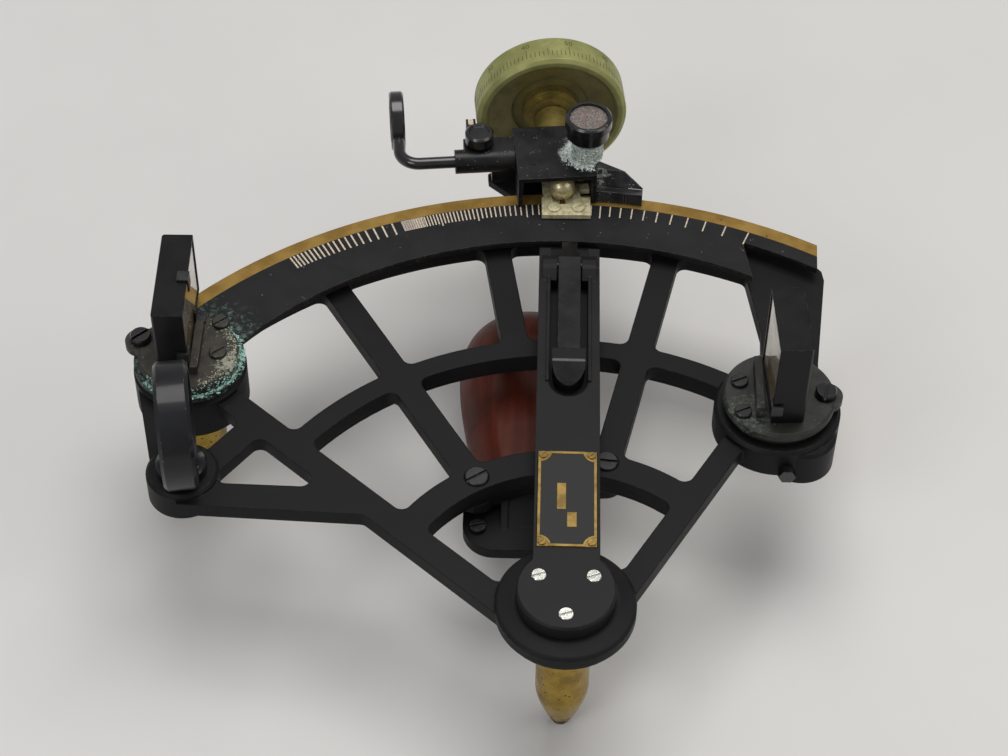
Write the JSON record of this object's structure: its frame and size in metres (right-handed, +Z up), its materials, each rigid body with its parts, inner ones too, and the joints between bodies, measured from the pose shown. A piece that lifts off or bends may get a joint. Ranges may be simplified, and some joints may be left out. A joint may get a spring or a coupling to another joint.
{
  "type": "stadimeter",
  "caption": "Sextant-pattern stadimeter: rib frame on three feet, swinging index arm, mirror lever with height scale, micrometer drum, two mirrors and a telescope collar.",
  "frame": {"origin": "tip of the foot under the arm's pivot, on the surface that the three feet stand on", "axes": "+Z up, +Y along the index arm from its pivot to the drum, +X to the right"},
  "size_m": [0.222, 0.2343, 0.0981],
  "materials": {
    "black_paint": "worn satin black paint on cast metal",
    "gloss_black": "smooth gloss black enamel",
    "brass": "aged, lacquered brass",
    "olive_brass": "matt brass with an olive patina",
    "pale_brass": "bright turned bronze",
    "corroded": "corroded brass with pale salts",
    "verdigris": "bronze under green and grey corrosion",
    "steel": "machined steel",
    "bright": "bright nickel plate",
    "mahogany": "varnished red-brown hardwood",
    "mirror": "aged silvered glass",
    "lens": "clear ground glass"
  },
  "bodies": {
    "frame": {"frame": "black_paint", "pivot_foot": "brass", "corner_feet": "brass", "arm_bush": "pale_brass", "lever_bush": "pale_brass", "lever_spring": "steel", "front_bracket": "black_paint", "rear_bracket": "black_paint", "handle_tang": "steel", "handle": "mahogany", "frame_screws": "black_paint", "handle_screws": "black_paint", "telescope_collar": "gloss_black", "collar_screw": "brass", "collar_nut": "brass"},
    "horizon_mirror": {"horizon_base": "verdigris", "horizon_hood": "gloss_black", "horizon_glass": "mirror", "horizon_clips": "steel", "horizon_screws": "black_paint", "horizon_ear_screw": "gloss_black"},
    "adjuster_bolt": {"horizon_adjuster": "gloss_black"},
    "mirror_lever": {"mirror_lever": "brass", "scale_plate": "black_paint", "index_base": "verdigris", "index_hood": "gloss_black", "index_glass": "mirror", "index_clips": "steel", "index_screws": "verdigris", "index_ear_screw": "gloss_black", "lever_nut": "brass"},
    "index_arm": {"index_arm": "black_paint", "arm_shaft": "steel", "arm_nut": "brass", "arm_plate": "black_paint", "arm_screws": "bright", "tail_screws": "steel", "nameplate": "brass", "nameplate_pins": "brass", "carriage_block": "black_paint", "index_block": "black_paint", "drum_bearing": "brass", "drum_index": "black_paint", "magnifier_clamp": "black_paint", "release_spring": "steel"},
    "release_lever": {"release_lever": "gloss_black", "release_pin": "steel"},
    "drum": {"drum": "olive_brass", "drum_hub": "brass", "lead_screw": "steel"},
    "spindle": {"spindle": "pale_brass", "bearing_shoe": "corroded", "shoe_screws": "corroded"},
    "clamp_screw": {"clamp_knob": "gloss_black", "clamp_stem": "steel"},
    "magnifier": {"magnifier_rod": "gloss_black", "lens_ring": "gloss_black", "magnifier_lens": "lens"},
    "thumb_screw": {"thumb_screw": "gloss_black"}
  },
  "joints": [
    {"name": "arm_swing", "type": "hinge", "parent": "frame", "child": "index_arm", "pos_m": [0, 0, 0.063], "axis": [0, 0, -1], "range_deg": [-36, 15]},
    {"name": "lever_swing", "type": "hinge", "parent": "frame", "child": "mirror_lever", "pos_m": [-0.11768, 0.08708, 0.063], "axis": [0, 0, 1], "range_deg": [0, 2.13]},
    {"name": "drum_spin", "type": "hinge", "parent": "index_arm", "child": "drum", "pos_m": [-0.00712, 0.20274, 0.0677], "axis": [-0.1097, 0.994, 0], "range_deg": [0, 330]},
    {"name": "spindle_slide", "type": "slide", "parent": "index_arm", "child": "spindle", "axis": [-0.1097, 0.994, 0], "range_m": [0, 0.0066]},
    {"name": "release_press", "type": "hinge", "parent": "index_arm", "child": "release_lever", "pos_m": [0, 0.128, 0.0664], "axis": [1, 0, 0], "range_deg": [0, 2.6], "stiffness_Nm_per_rad": 0.3, "springref_deg": -2.86, "deforming": ["release_spring"]},
    {"name": "clamp_turn", "type": "hinge", "parent": "index_arm", "child": "clamp_screw", "pos_m": [0.00518, 0.1706, 0.083], "axis": [0, 0, -1], "range_deg": [0, 180]},
    {"name": "magnifier_tilt", "type": "hinge", "parent": "index_arm", "child": "magnifier", "pos_m": [-0.04374, 0.16992, 0.071], "axis": [0.994, 0.1097, 0], "range_deg": [-20, 80]},
    {"name": "thumb_turn", "type": "hinge", "parent": "index_arm", "child": "thumb_screw", "pos_m": [-0.03048, 0.17561, 0.077], "axis": [0, 0, 1], "range_deg": [-90, 180]},
    {"name": "horizon_adjust", "type": "hinge", "parent": "frame", "child": "horizon_mirror", "pos_m": [0.0645, 0.076, 0.063], "axis": [0, 0, 1], "range_deg": [-1.5, 1.5]},
    {"name": "adjuster_turn", "type": "hinge", "parent": "frame", "child": "adjuster_bolt", "pos_m": [0.0669, 0.0532, 0.053], "axis": [0, 1, 0], "range_deg": [-91, 91]}
  ],
  "couplings": [
    {"joint": "spindle_slide", "follows": "drum_spin", "m_per_rad": 0.0011286},
    {"joint": "lever_swing", "follows": "drum_spin", "ratio": 0.0064122},
    {"joint": "adjuster_turn", "follows": "horizon_adjust", "ratio": 60}
  ]
}
